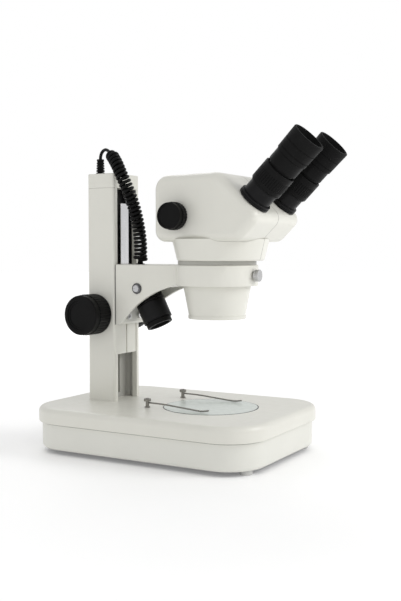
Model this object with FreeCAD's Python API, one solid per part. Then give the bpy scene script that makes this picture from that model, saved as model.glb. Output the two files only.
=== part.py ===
import FreeCAD, Part
import math
import os

os.makedirs("parts", exist_ok=True)

V = FreeCAD.Vector
X_AXIS = V(1, 0, 0)
Y_AXIS = V(0, 1, 0)
Z_AXIS = V(0, 0, 1)
SIDES = (-1, 1)

# ---------------------------------------------------------------- driving dimensions (mm)
# Frame: +Z up, the user sits at -Y, +X is the user's right, the table is Z = 0.
# Base
BASE_WIDTH = 208.0
BASE_FRONT = -118.5
BASE_BACK = 168.0
BASE_CORNER = 46.0
TRAY_BOTTOM = 5.0
SEAM_Z = 34.5
TOP_Z = 52.0
TRAY_INSET = 4.0
WALL = 3.0
COVER_TOP_THICK = 4.5
PANEL_Y = BASE_BACK - TRAY_INSET
PANEL_Z = 20.0
SWITCH_X = (12.0, 46.0)
INLET_X = -38.0
WHEEL_R = 12.0
WHEEL_X = BASE_WIDTH / 2 - TRAY_INSET - WHEEL_R + 3.0
WHEEL_Y = 62.0
FOOT_R = 7.5
FOOT_SPOTS = [(side * 72.0, y) for side in SIDES for y in (-100.0, 148.0)]
SCREW_SPOTS = [(side * 76.0, y) for side in SIDES for y in (-80.0, 130.0)]

# Stage: glass plate, lamp below it, spring clips
GLASS_Y = -19.0
GLASS_R = 54.0
GLASS_THICK = 3.0
CUP_R = 45.0
CUP_TOP = 44.0
CLIP_X = 39.0
CLIP_Y = 41.0
CLIP_WIRE_R = 0.9

# Column and focus drive
OPTICAL_Y = -27.0
COLUMN_HALF = 26.0
COLUMN_FRONT = 94.5
COLUMN_BACK = 132.5
COLUMN_TOP = 301.0
CAP_TOP = 318.0
CHANNEL_HALF = 19.75
CHANNEL_DEPTH = 16.0
CHANNEL_BACK = COLUMN_FRONT + CHANNEL_DEPTH
BOLT_X = 20.8
FOCUS_Y = 121.8
FOCUS_Z = 154.0
FOCUS_KNOB_R = 23.7
KNOB_IN = COLUMN_HALF + 0.8
KNOB_OUT = KNOB_IN + 29.4
RACK_MODULE = 0.8
PINION_TEETH = 12
FOCUS_PITCH_R = RACK_MODULE * PINION_TEETH / 2
RACK_PITCH_Y = FOCUS_Y - FOCUS_PITCH_R
SHAFT_R = 3.0
RUNNING = 0.05

# Arm and slider
ARM_TOP = 212.5
ARM_BOTTOM = 142.5
ARM_HALF = 25.5
ARM_BACK = COLUMN_FRONT - 0.6
ARM_WALL = 4.5
RING_R = 46.0
RING_BOTTOM = 189.5
MOUNT_R = 38.0
LOCK_Z = 201.0
SLIDER_BOTTOM = 107.0
SLIDER_BACK = CHANNEL_BACK - 0.4
BAR_HALF = 8.0
BAR_FRONT = COLUMN_FRONT + 3.0
BAR_BACK = COLUMN_FRONT + 7.0
BAR_LAP = 30.0
BAR_TOP = 284.0
ARM_BOLT_SPOTS = [(x, z) for x in (-12.0, 12.0) for z in (152.0, 200.0)]

# Lamp in the arm
LAMP_TILT = 27.0
LAMP_PIVOT = V(0, 63.5, 185.0)
LAMP_R = 17.0
LAMP_REAR_R = 12.5
LAMP_FOOT = V(0, 51.0, 147.5)
LAMP_DOWN = V(0, -math.sin(math.radians(LAMP_TILT)), -math.cos(math.radians(LAMP_TILT)))

# Head: z - y is FACE_SUM all over the sloped face that carries the eye tubes
HEAD_BOTTOM = 238.0
HEAD_TOP = 311.0
HEAD_BACK = 29.5
HEAD_REAR_HALF = 45.0
HEAD_FRONT_HALF = 57.0
HEAD_TIP_Y = -106.5
HEAD_ROUND = 9.0
SHELL = 3.0
SPLIT_GAP = 0.12
FACE_SUM = 369.5
COLLAR_Y = OPTICAL_Y - 4.5
COLLAR_BOTTOM = 217.0
COLLAR_TOP = 241.0
BARREL_TOP = 242.0
CONE_TOP = RING_BOTTOM - 1.0
CONE_BOTTOM = 156.3
LIP_BOTTOM = 152.5
LENS_X = 11.5
LENS_R = 9.5

# Zoom drive
ZOOM_Y = -2.0
ZOOM_Z = 265.5
ZOOM_KNOB_R = 15.2
ZOOM_KNOB_IN = 49.0
ZOOM_DRUM = 8.0
ZOOM_KNOB_LONG = 15.2
ZOOM_MODULE = 0.6
ZOOM_TEETH = 12
ZOOM_PITCH_R = ZOOM_MODULE * ZOOM_TEETH / 2
UPPER_Z = 285.0
LOWER_Z = 252.0
LINK_OFFSET = 6.5
ROD_SPOTS = ((-28.0, OPTICAL_Y), (28.0, OPTICAL_Y))

# Eye tubes and eyepieces, measured from the sloped face along their own axes
EYE_HALF = 34.0
EYE_LINE_SUM = 191.7
FACE_POINT = V(0, (EYE_LINE_SUM - FACE_SUM) / 2, (EYE_LINE_SUM + FACE_SUM) / 2)
EYE_SWING_R = 20.0
NECK_R = 9.0
SWING = 3.8
TUBE_COLLAR_R = 18.5
TUBE_COLLAR_TOP = 5.5
TUBE_R = 16.3
TUBE_TOP = 41.0
SLEEVE_R = 15.1
RING_OUTER_R = 18.3
RING_LOW = 19.8
RING_HIGH = 43.9
OCULAR_R = 17.2
OCULAR_LOW = 46.3
OCULAR_HIGH = 61.0
OCULAR_TOP = 71.0
OCULAR_TOP_R = 13.5
OCULAR_BORE_R = 11.5
EYECUP_R = 18.2
EYECUP_RIM_R = 18.9
EYECUP_MOUTH_R = 16.6
EYECUP_TOP = 88.9

# Lamp cord
GLAND_X = -10.0
GLAND_Y = 125.0
GLAND_TOP = 336.0
LEAD_Y = 126.8
GROMMET_X = -10.0
GROMMET_Y = 69.0
CORD_R = 2.0
COIL_R = 7.1
PLAIN_ROUTE = [V(GLAND_X, GLAND_Y, GLAND_TOP), V(GLAND_X, GLAND_Y, 340.0), V(-12.4, 117.6, 345.0),
               V(-16.6, 109.4, 344.6), V(-17.6, 104.0, 340.0)]
COIL_ROUTE = [V(-17.6, 104.0, 340.0), V(-19.8, 92.5, 330.0), V(-21.5, 83.0, 314.5), V(-21.5, 77.0, 297.0),
              V(-20.0, 72.5, 279.0), V(-17.0, 69.2, 261.5), V(-13.6, 68.0, 244.0), V(-10.4, 69.0, 228.5),
              V(GROMMET_X, GROMMET_Y, 217.0)]


# ---------------------------------------------------------------- helpers
def box(x0, x1, y0, y1, z0, z1):
    return Part.makeBox(x1 - x0, y1 - y0, z1 - z0, V(x0, y0, z0))


def rod(radius, start, axis, length):
    return Part.makeCylinder(radius, length, V(start), V(axis))


def pipe(outer, inner, start, axis, length):
    return rod(outer, start, axis, length).cut(rod(inner, start, axis, length))


def cone(r0, r1, start, axis, length):
    return Part.makeCone(r0, r1, length, V(start), V(axis))


def join(*shapes):
    whole = shapes[0].fuse(list(shapes[1:]))
    return whole.removeSplitter()


def group(shapes):
    return Part.makeCompound([solid for shape in shapes for solid in shape.Solids])


def mirror_x(shape):
    return shape.mirror(V(0, 0, 0), X_AXIS)


def both_sides(shape):
    return group([shape, mirror_x(shape)])


def fillet_where(shape, radius, test):
    edges = [edge for edge in shape.Edges if test(edge)]
    return shape.makeFillet(radius, edges)


def sharp_edges(shape):
    """Edges whose two faces meet at an angle, which leaves out the seams between tangent faces."""
    found = []
    for edge in shape.Edges:
        middle = edge.valueAt((edge.FirstParameter + edge.LastParameter) / 2)
        faces = shape.ancestorsOfType(edge, Part.Face)
        normals = [face.normalAt(*face.Surface.parameter(middle)) for face in faces]
        if len(normals) == 2 and normals[0].getAngle(normals[1]) > 0.3:
            found.append(edge)
    return found


def is_vertical(edge):
    box_ = edge.BoundBox
    return box_.XLength < 1e-3 and box_.YLength < 1e-3


def at_height(z):
    return lambda edge: abs(edge.BoundBox.ZMin - z) < 1e-3 and abs(edge.BoundBox.ZMax - z) < 1e-3


def slab(half, y0, y1, corner, z0, z1):
    """Plate with rounded vertical corners, symmetric about X = 0."""
    return fillet_where(box(-half, half, y0, y1, z0, z1), corner, is_vertical)


def plate_yz(points, x0, x1):
    """Polygon given as (y, z) points, extruded from x0 to x1."""
    corners = [V(x0, y, z) for y, z in points]
    wire = Part.makePolygon(corners + corners[:1])
    return Part.Face(wire).extrude(V(x1 - x0, 0, 0))


def plate_xy(points, z0, z1):
    corners = [V(x, y, z0) for x, y in points]
    wire = Part.makePolygon(corners + corners[:1])
    return Part.Face(wire).extrude(V(0, 0, z1 - z0))


def gear_blank(module, teeth, length, bore):
    """Spur pinion along +X from the origin, with slim straight-flanked teeth."""
    pitch_r = module * teeth / 2
    root_r = pitch_r - 1.15 * module
    tip_r = pitch_r + 0.85 * module
    body = rod(root_r, V(0, 0, 0), X_AXIS, length)
    root_half = 0.95 * module
    tip_half = 0.30 * module
    tooth = plate_yz([(-root_half, root_r - 0.4), (root_half, root_r - 0.4),
                      (tip_half, tip_r), (-tip_half, tip_r)], 0, length)
    teeth_shapes = []
    for index in range(teeth):
        copy = tooth.copy()
        copy.rotate(V(0, 0, 0), X_AXIS, 360.0 * index / teeth)
        teeth_shapes.append(copy)
    return join(body, *teeth_shapes).cut(rod(bore, V(0, 0, 0), X_AXIS, length))


def rack_teeth(module, z0, z1, phase_z, pitch_y, side, x0, x1, back_y):
    """Rack along Z whose teeth point to the given side (+1 = +Y), a tooth space at phase_z."""
    pitch = math.pi * module
    tip_y = pitch_y + side * 0.85 * module
    root_y = pitch_y - side * 1.15 * module
    bar = box(x0, x1, min(root_y, back_y), max(root_y, back_y), z0, z1)
    shapes = [bar]
    first = math.ceil((z0 - phase_z) / pitch - 0.5 + 0.4)
    last = math.floor((z1 - phase_z) / pitch - 0.5 - 0.4)
    for index in range(first, last + 1):
        mid = phase_z + (index + 0.5) * pitch
        root_half = 0.85 * module
        tip_half = 0.28 * module
        shapes.append(plate_yz([(root_y - side * 0.2, mid - root_half), (tip_y, mid - tip_half),
                                (tip_y, mid + tip_half), (root_y - side * 0.2, mid + root_half)], x0, x1))
    return join(*shapes)


# ---------------------------------------------------------------- base
def base_cover():
    half = BASE_WIDTH / 2
    outer = slab(half, BASE_FRONT, BASE_BACK, BASE_CORNER, SEAM_Z, TOP_Z)
    outer = fillet_where(outer, 6.0, at_height(TOP_Z))
    outer = fillet_where(outer, 1.5, at_height(SEAM_Z))
    inset = TRAY_INSET + WALL
    pocket = slab(half - inset, BASE_FRONT + inset, BASE_BACK - inset, BASE_CORNER - inset,
                  SEAM_Z - 1, TOP_Z - COVER_TOP_THICK)
    cover = outer.cut(pocket)
    pad = box(-34, 34, COLUMN_FRONT - 6, COLUMN_BACK + 8, TOP_Z - 12, TOP_Z - COVER_TOP_THICK + 1)
    bosses = [rod(6, V(side * CLIP_X, CLIP_Y, TOP_Z - 11), Z_AXIS, 8) for side in SIDES]
    cover = join(cover, pad, *bosses)
    cuts = [rod(GLASS_R + 0.4, V(0, GLASS_Y, TOP_Z - GLASS_THICK), Z_AXIS, 10),
            rod(GLASS_R - 4, V(0, GLASS_Y, TOP_Z - 20), Z_AXIS, 30),
            rod(3.5, V(GLAND_X, LEAD_Y, TOP_Z - 20), Z_AXIS, 30)]
    cuts += [rod(3.3, V(side * BOLT_X, FOCUS_Y, TOP_Z - 20), Z_AXIS, 30) for side in SIDES]
    cuts += [rod(2.0 + RUNNING, V(side * CLIP_X, CLIP_Y, TOP_Z - 9), Z_AXIS, 30) for side in SIDES]
    return cover.cut(cuts)


def base_tray():
    half = BASE_WIDTH / 2 - TRAY_INSET
    y0 = BASE_FRONT + TRAY_INSET
    y1 = BASE_BACK - TRAY_INSET
    corner = BASE_CORNER - TRAY_INSET
    outer = slab(half, y0, y1, corner, TRAY_BOTTOM, SEAM_Z)
    outer = fillet_where(outer, 4.0, at_height(TRAY_BOTTOM))
    inner = slab(half - WALL, y0 + WALL, y1 - WALL, corner - WALL, TRAY_BOTTOM - 1, SEAM_Z + 1)
    lip = slab(half - WALL, y0 + WALL, y1 - WALL, corner - WALL, TRAY_BOTTOM + 2.2, TRAY_BOTTOM + 4.2)
    window = slab(half - WALL - 5, y0 + WALL + 5, y1 - WALL - 5, corner - WALL - 5, 0, SEAM_Z)
    tray = join(outer.cut(inner), lip.cut(window))
    posts = [rod(5, V(x, y, TRAY_BOTTOM + 2.2), Z_AXIS, SEAM_Z - TRAY_BOTTOM - 2.4) for x, y in SCREW_SPOTS]
    webs = [box(min(x, x * 1.22), max(x, x * 1.22), y - 1.5, y + 1.5, TRAY_BOTTOM + 2.2, SEAM_Z - 6)
            for x, y in SCREW_SPOTS]
    tray = join(tray, *posts, *webs)
    cuts = [rod(1.6, V(x, y, 0), Z_AXIS, SEAM_Z - 12) for x, y in SCREW_SPOTS]
    cuts += [box(x - 7.2, x + 7.2, y1 - 6, y1 + 6, PANEL_Z - 10.2, PANEL_Z + 10.2) for x in SWITCH_X]
    cuts.append(box(INLET_X - 14.2, INLET_X + 14.2, y1 - 6, y1 + 6, PANEL_Z - 10.2, PANEL_Z + 10.2))
    cuts.append(box(half - 8, half + 2, WHEEL_Y - 10, WHEEL_Y + 10, PANEL_Z - 3.6, PANEL_Z + 3.6))
    return tray.cut(cuts)


def bottom_plate():
    inset = TRAY_INSET + WALL + 0.2
    plate = slab(BASE_WIDTH / 2 - inset, BASE_FRONT + inset, BASE_BACK - inset, BASE_CORNER - inset,
                 TRAY_BOTTOM, TRAY_BOTTOM + 2.0)
    cuts = [rod(2.0, V(x, y, 0), Z_AXIS, 20) for x, y in SCREW_SPOTS]
    return plate.cut(cuts)


def rubber_feet():
    feet = []
    for x, y in FOOT_SPOTS:
        foot = cone(FOOT_R - 0.8, FOOT_R, V(x, y, 0), Z_AXIS, TRAY_BOTTOM)
        feet.append(fillet_where(foot, 0.8, at_height(0)))
    return group(feet)


def base_screws():
    screws = []
    for x, y in SCREW_SPOTS:
        head = rod(3.4, V(x, y, TRAY_BOTTOM - 1.6), Z_AXIS, 1.6)
        screws.append(join(head, rod(1.6, V(x, y, TRAY_BOTTOM - 0.5), Z_AXIS, 16)))
    return group(screws)


def stage_glass():
    glass = rod(GLASS_R, V(0, GLASS_Y, TOP_Z - GLASS_THICK), Z_AXIS, GLASS_THICK + 0.2)
    return fillet_where(glass, 0.4, at_height(TOP_Z + 0.2))


def stage_lamp_cup():
    z0 = TRAY_BOTTOM + 2.0
    cup = rod(CUP_R, V(0, GLASS_Y, z0), Z_AXIS, CUP_TOP - z0)
    hollow = rod(CUP_R - 2, V(0, GLASS_Y, z0 + 8), Z_AXIS, CUP_TOP)
    seat = rod(CUP_R - 1, V(0, GLASS_Y, CUP_TOP - 2.5), Z_AXIS, 5)
    return cup.cut([hollow, seat])


def diffuser_plate():
    return rod(CUP_R - 1.2, V(0, GLASS_Y, CUP_TOP - 2.5), Z_AXIS, 2.5)


def stage_led_board():
    z0 = TRAY_BOTTOM + 10.0
    board = rod(38, V(0, GLASS_Y, z0), Z_AXIS, 1.6)
    leds = [box(-1.8, 1.8, GLASS_Y - 1.8, GLASS_Y + 1.8, z0 + 1.2, z0 + 2.6)]
    for count, radius in ((6, 14.0), (12, 28.0)):
        for index in range(count):
            angle = 2 * math.pi * index / count
            x = radius * math.cos(angle)
            y = GLASS_Y + radius * math.sin(angle)
            leds.append(box(x - 1.8, x + 1.8, y - 1.8, y + 1.8, z0 + 1.2, z0 + 2.6))
    return join(board, *leds)


def power_board():
    z0 = TRAY_BOTTOM + 2.0
    board = box(-60, 10, 60, 125, z0 + 6, z0 + 7.6)
    legs = [rod(2.5, V(x, y, z0), Z_AXIS, 6.2) for x in (-55, 5) for y in (65, 120)]
    transformer = box(-50, -22, 72, 98, z0 + 7.4, z0 + 25)
    capacitors = [rod(4, V(x, 108, z0 + 7.4), Z_AXIS, 14) for x in (-44, -33, -22)]
    heat_sink = box(-12, 2, 70, 74, z0 + 7.4, z0 + 24)
    return join(board, *legs, transformer, *capacitors, heat_sink)


def power_inlet():
    flange = box(INLET_X - 16, INLET_X + 16, PANEL_Y + 0.1, PANEL_Y + 2.4, PANEL_Z - 12, PANEL_Z + 12)
    shell = box(INLET_X - 14, INLET_X + 14, PANEL_Y - 22, PANEL_Y + 1, PANEL_Z - 10, PANEL_Z + 10)
    hole = box(INLET_X - 12, INLET_X + 12, PANEL_Y - 18, PANEL_Y + 5, PANEL_Z - 8, PANEL_Z + 8)
    body = join(flange, shell).cut(hole)
    pins = [box(INLET_X + x - 1, INLET_X + x + 1, PANEL_Y - 24, PANEL_Y - 3, PANEL_Z + z - 2, PANEL_Z + z + 2)
            for x, z in ((-7, -2), (0, 2), (7, -2))]
    return group([body.cut(pins)] + pins)


def switch_frames():
    frames = []
    for x in SWITCH_X:
        flange = box(x - 8.5, x + 8.5, PANEL_Y + 0.1, PANEL_Y + 1.6, PANEL_Z - 12, PANEL_Z + 12)
        shell = box(x - 7, x + 7, PANEL_Y - 18, PANEL_Y + 1, PANEL_Z - 10, PANEL_Z + 10)
        well = box(x - 5.5, x + 5.5, PANEL_Y - 9, PANEL_Y + 5, PANEL_Z - 8.5, PANEL_Z + 8.5)
        axle_bore = rod(1.0 + RUNNING, V(x - 6.5, PANEL_Y - 4, PANEL_Z), X_AXIS, 13)
        frames.append(join(flange, shell).cut([well, axle_bore]))
    return group(frames)


def rocker(x):
    points = [(PANEL_Y - 5.5, PANEL_Z - 3), (PANEL_Y + 1.0, PANEL_Z - 7.6), (PANEL_Y + 2.4, PANEL_Z - 7.6),
              (PANEL_Y + 0.9, PANEL_Z), (PANEL_Y + 2.4, PANEL_Z + 7.6), (PANEL_Y + 1.0, PANEL_Z + 7.6),
              (PANEL_Y - 5.5, PANEL_Z + 3)]
    key = plate_yz(points, x - 5.2, x + 5.2)
    return join(key, rod(1.0, V(x - 6.3, PANEL_Y - 4, PANEL_Z), X_AXIS, 12.6))


def dimmer_wheel():
    wheel = rod(WHEEL_R, V(WHEEL_X, WHEEL_Y, PANEL_Z - 3), Z_AXIS, 6)
    notches = []
    for index in range(24):
        angle = 2 * math.pi * index / 24
        spot = V(WHEEL_X + WHEEL_R * math.cos(angle), WHEEL_Y + WHEEL_R * math.sin(angle), 0)
        notches.append(rod(0.8, spot, Z_AXIS, 60))
    return wheel.cut(notches + [rod(2.5 + RUNNING, V(WHEEL_X, WHEEL_Y, 0), Z_AXIS, 60)])


def dimmer_pot():
    z0 = TRAY_BOTTOM + 2.0
    stand = box(WHEEL_X - 10, WHEEL_X + 0.8, WHEEL_Y - 7, WHEEL_Y + 7, z0, PANEL_Z - 3.6)
    return join(stand, rod(2.5, V(WHEEL_X, WHEEL_Y, PANEL_Z - 4), Z_AXIS, 8))


# ---------------------------------------------------------------- column and focus drive
def column_profile():
    column = box(-COLUMN_HALF, COLUMN_HALF, COLUMN_FRONT, COLUMN_BACK, TOP_Z, COLUMN_TOP)
    column = fillet_where(column, 3.0, is_vertical)
    channel = box(-CHANNEL_HALF, CHANNEL_HALF, COLUMN_FRONT - 5, CHANNEL_BACK, TOP_Z - 1, COLUMN_TOP + 1)
    grooves = [box(side * CHANNEL_HALF - 2.5, side * CHANNEL_HALF + 2.5, COLUMN_FRONT + 6.4,
                   COLUMN_FRONT + 10.6, TOP_Z - 1, COLUMN_TOP + 1) for side in SIDES]
    cavity = box(-15.5, 15.5, CHANNEL_BACK + 4, COLUMN_BACK - 3, TOP_Z - 1, COLUMN_TOP + 1)
    slot = box(-6.5, 6.5, CHANNEL_BACK - 1, CHANNEL_BACK + 5, TOP_Z + 6, COLUMN_TOP - 40)
    bolts = [rod(3.0, V(side * BOLT_X, FOCUS_Y, TOP_Z - 1), Z_AXIS, 16) for side in SIDES]
    bores = [rod(5.0, V(-COLUMN_HALF - 1, FOCUS_Y, FOCUS_Z), X_AXIS, 2 * COLUMN_HALF + 2)]
    return column.cut([channel, cavity, slot] + grooves + bolts + bores)


def column_cap():
    cap = box(-COLUMN_HALF, COLUMN_HALF, COLUMN_FRONT, COLUMN_BACK, COLUMN_TOP + 0.2, CAP_TOP)
    cap = fillet_where(cap, 3.0, is_vertical)
    cap = fillet_where(cap, 1.5, at_height(CAP_TOP))
    plug = box(-15.3, 15.3, CHANNEL_BACK + 4.2, COLUMN_BACK - 3.2, COLUMN_TOP - 10, COLUMN_TOP + 1)
    cap = join(cap, plug)
    hollow = box(-13.8, 13.8, CHANNEL_BACK + 6, COLUMN_BACK - 4, COLUMN_TOP - 12, CAP_TOP - 3)
    return cap.cut([hollow, rod(3.4, V(GLAND_X, GLAND_Y, COLUMN_TOP), Z_AXIS, 40)])


def column_bolts():
    bolts = []
    for side in SIDES:
        head = rod(5.0, V(side * BOLT_X, FOCUS_Y, TOP_Z - 17), Z_AXIS, 5)
        bolts.append(join(head, rod(3.0, V(side * BOLT_X, FOCUS_Y, TOP_Z - 13), Z_AXIS, 26)))
    return group(bolts)


def focus_bushes():
    bush = pipe(5.0, SHAFT_R + RUNNING, V(16.0, FOCUS_Y, FOCUS_Z), X_AXIS, COLUMN_HALF - 16.0 + 0.8)
    return both_sides(bush)


def focus_shaft():
    return rod(SHAFT_R, V(-KNOB_OUT + 6, FOCUS_Y, FOCUS_Z), X_AXIS, 2 * KNOB_OUT - 12)


def focus_pinion():
    gear = gear_blank(RACK_MODULE, PINION_TEETH, 10.0, SHAFT_R)
    gear.rotate(V(0, 0, 0), X_AXIS, 90.0)
    gear.translate(V(-5.0, FOCUS_Y, FOCUS_Z))
    return gear


def fluted(radius, start, length, flutes, depth):
    """Knob drum along +X with axial flutes."""
    drum = rod(radius, start, X_AXIS, length)
    cuts = []
    for index in range(flutes):
        angle = 2 * math.pi * index / flutes
        mid = V(start) + V(0, (radius + depth) * math.cos(angle), (radius + depth) * math.sin(angle))
        cuts.append(rod(2 * depth, mid, X_AXIS, length))
    return drum.cut(cuts)


def focus_knobs():
    start = V(KNOB_IN, FOCUS_Y, FOCUS_Z)
    boss = rod(15.0, start, X_AXIS, 1.5)
    skirt = rod(FOCUS_KNOB_R, start + V(0.8, 0, 0), X_AXIS, 2.5)
    drum = fluted(FOCUS_KNOB_R, start + V(3.0, 0, 0), 18.0, 36, 0.6)
    cap = rod(FOCUS_KNOB_R - 0.8, start + V(20.5, 0, 0), X_AXIS, KNOB_OUT - KNOB_IN - 20.5)
    cap = cap.makeFillet(1.5, [edge for edge in cap.Edges if edge.BoundBox.XMin > KNOB_OUT - 0.01])
    knob = join(boss, skirt, drum, cap)
    dishes = [rod(radius, V(KNOB_OUT - depth, FOCUS_Y, FOCUS_Z), X_AXIS, 5)
              for radius, depth in ((18.0, 0.9), (15.6, 1.6))]
    bore = rod(SHAFT_R, start - V(1, 0, 0), X_AXIS, KNOB_OUT - 6 - KNOB_IN + 1)
    return both_sides(knob.cut(dishes + [bore]))


# ---------------------------------------------------------------- arm
def slider_block():
    half = CHANNEL_HALF - 0.3
    block = box(-half, half, COLUMN_FRONT + 1.0, SLIDER_BACK, SLIDER_BOTTOM, ARM_TOP)
    tongues = [box(side * (half + 1.0) - 1.4, side * (half + 1.0) + 1.4, COLUMN_FRONT + 6.7,
                   COLUMN_FRONT + 10.3, SLIDER_BOTTOM, ARM_TOP) for side in SIDES]
    neck = box(-half + 2, half - 2, ARM_BACK, COLUMN_FRONT + 2, ARM_BOTTOM + 4, ARM_TOP - 4)
    groove = box(-1.2, 1.2, COLUMN_FRONT - 2, COLUMN_FRONT + 3, SLIDER_BOTTOM - 1, ARM_BOTTOM + 4)
    block = join(block, neck, *tongues)
    cuts = [groove, box(-4.1, 4.1, SLIDER_BACK - 3, SLIDER_BACK + 1, SLIDER_BOTTOM + 4, ARM_TOP - 2)]
    cuts += [rod(2.5, V(x, ARM_BACK - 1, z), Y_AXIS, 12) for x, z in ARM_BOLT_SPOTS]
    cuts.append(box(-BAR_HALF - 0.1, BAR_HALF + 0.1, BAR_FRONT - 0.1, BAR_BACK + 0.1,
                    ARM_TOP - BAR_LAP, ARM_TOP + 1))
    return block.cut(cuts)


def slide_bar():
    return box(-BAR_HALF, BAR_HALF, BAR_FRONT, BAR_BACK, ARM_TOP - BAR_LAP, BAR_TOP)


def focus_rack():
    z0 = SLIDER_BOTTOM + 4.2
    z1 = ARM_TOP - 2.2
    rack = rack_teeth(RACK_MODULE, z0, z1, FOCUS_Z, RACK_PITCH_Y, 1,
                      -4.0, 4.0, SLIDER_BACK - 3)
    return rack


def arm_bolts():
    bolts = []
    for x, z in ARM_BOLT_SPOTS:
        head = rod(4.2, V(x, ARM_BACK - 11, z), Y_AXIS, 3)
        socket = rod(2.2, V(x, ARM_BACK - 12, z), Y_AXIS, 2.8)
        shank = rod(2.5, V(x, ARM_BACK - 9, z), Y_AXIS, 19)
        bolts.append(join(head, shank).cut(socket))
    return group(bolts)


def arm_casting():
    ring = rod(RING_R, V(0, OPTICAL_Y, RING_BOTTOM), Z_AXIS, ARM_TOP - RING_BOTTOM)
    arc = Part.Arc(V(-ARM_HALF, 12.5, RING_BOTTOM), V(-ARM_HALF, 55.0, 172.5), V(-ARM_HALF, 88.0, ARM_BOTTOM))
    corners = [V(-ARM_HALF, 88.0, ARM_BOTTOM), V(-ARM_HALF, ARM_BACK, ARM_BOTTOM),
               V(-ARM_HALF, ARM_BACK, ARM_TOP), V(-ARM_HALF, 2.0, ARM_TOP), V(-ARM_HALF, 2.0, RING_BOTTOM),
               V(-ARM_HALF, 12.5, RING_BOTTOM)]
    edges = [arc.toShape()] + [Part.makeLine(a, b) for a, b in zip(corners, corners[1:])]
    side = Part.Face(Part.Wire(edges)).extrude(V(2 * ARM_HALF, 0, 0))
    inside = box(-ARM_HALF + ARM_WALL, ARM_HALF - ARM_WALL, 22.0, ARM_BACK - 8, ARM_BOTTOM - 5, ARM_TOP - 6)
    inside = fillet_where(inside, 3.0, is_vertical)
    arm = join(ring, side.cut(inside))
    arm = fillet_where(arm, 1.6, at_height(ARM_TOP))
    cuts = [rod(MOUNT_R, V(0, OPTICAL_Y, RING_BOTTOM - 1), Z_AXIS, 60),
            rod(2.5, V(0, OPTICAL_Y, LOCK_Z), -Y_AXIS, 60),
            rod(3.5, V(GROMMET_X, GROMMET_Y, ARM_TOP - 10), Z_AXIS, 20)]
    cuts += [rod(2.6, V(x, ARM_BACK - 12, z), Y_AXIS, 20) for x, z in ARM_BOLT_SPOTS]
    cuts += [rod(3.0, LAMP_PIVOT + V(side * (ARM_HALF - 8), 0, 0), V(side, 0, 0), 20) for side in SIDES]
    return arm.cut(cuts)


def lock_screw():
    start = V(0, OPTICAL_Y - MOUNT_R - 0.3, LOCK_Z)
    shank = rod(2.45, start, -Y_AXIS, 9.5)
    flange = rod(4.5, V(0, OPTICAL_Y - RING_R - 0.4, LOCK_Z), -Y_AXIS, 1.8)
    head = rod(6.6, V(0, OPTICAL_Y - RING_R - 2.0, LOCK_Z), -Y_AXIS, 5.0)
    knurls = []
    for index in range(20):
        angle = 2 * math.pi * index / 20
        spot = V(6.7 * math.cos(angle), OPTICAL_Y - RING_R - 1, LOCK_Z + 6.7 * math.sin(angle))
        knurls.append(rod(0.5, spot, -Y_AXIS, 7))
    return join(shank, flange, head.cut(knurls))


def lamp_pivot_screws():
    shank = rod(3.0, LAMP_PIVOT + V(5.0, 0, 0), X_AXIS, ARM_HALF - 4.5)
    washer = rod(6.2, LAMP_PIVOT + V(ARM_HALF, 0, 0), X_AXIS, 1.0)
    head = rod(3.8, LAMP_PIVOT + V(ARM_HALF + 0.5, 0, 0), X_AXIS, 2.6)
    slot = box(ARM_HALF + 2.3, ARM_HALF + 4, LAMP_PIVOT.y - 5, LAMP_PIVOT.y + 5,
               LAMP_PIVOT.z - 0.5, LAMP_PIVOT.z + 0.5)
    return both_sides(join(shank, washer, head).cut(slot))


# ---------------------------------------------------------------- lamp
def along_lamp(distance):
    """Point on the lamp's axis, this far above its mouth."""
    return LAMP_FOOT - LAMP_DOWN * distance


def lamp_barrel():
    barrel = rod(LAMP_R, along_lamp(0), -LAMP_DOWN, 30.0)
    shoulder = cone(LAMP_R, LAMP_REAR_R, along_lamp(30.0), -LAMP_DOWN, 4.0)
    rear = rod(LAMP_REAR_R, along_lamp(33.9), -LAMP_DOWN, 12.0)
    barrel = join(barrel, shoulder, rear)
    cuts = [pipe(LAMP_R + 2, LAMP_R - 1.5, along_lamp(21.0 + 3.2 * index), -LAMP_DOWN, 1.4)
            for index in range(3)]
    cuts.append(rod(LAMP_R - 2.5, along_lamp(-1), -LAMP_DOWN, 22))
    cuts += [rod(3.0 + RUNNING, LAMP_PIVOT + V(side * 4.5, 0, 0), V(side, 0, 0), 40) for side in SIDES]
    return barrel.cut(cuts)


def lamp_front_ring():
    ring = pipe(LAMP_R - 1.8, LAMP_R - 5.0, along_lamp(-6.0), -LAMP_DOWN, 6.0)
    spigot = pipe(LAMP_R - 2.5, LAMP_R - 5.0, along_lamp(-0.5), -LAMP_DOWN, 6.0)
    return join(ring, spigot)


def lamp_lens():
    disc = rod(LAMP_R - 5.0, along_lamp(-3.0), -LAMP_DOWN, 5.0)
    dome = Part.makeSphere(22.0, along_lamp(17.0))
    return disc.common(dome)


def lamp_led_board():
    board = rod(LAMP_R - 2.5, along_lamp(17.0), -LAMP_DOWN, 4.0)
    return join(board, rod(3.5, along_lamp(15.5), -LAMP_DOWN, 2.0))


# ---------------------------------------------------------------- head
def rounded_outline(corners):
    """Closed wire through (point, radius) corners, each one rounded by its radius."""
    edges = []
    ends = []
    for index, (corner, radius) in enumerate(corners):
        before = corners[index - 1][0]
        after = corners[(index + 1) % len(corners)][0]
        into = (corner - before).normalize()
        out = (after - corner).normalize()
        turn = into.getAngle(out)
        trim = radius * math.tan(turn / 2)
        middle = corner + (out - into).normalize() * (radius / math.cos(turn / 2) - radius)
        ends.append((corner - into * trim, corner + out * trim))
        edges.append(Part.Arc(ends[-1][0], middle, ends[-1][1]).toShape())
    for index, (start, _) in enumerate(ends):
        edges.append(Part.makeLine(ends[index - 1][1], start))
    return Part.Wire(Part.__sortEdges__(edges))


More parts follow.
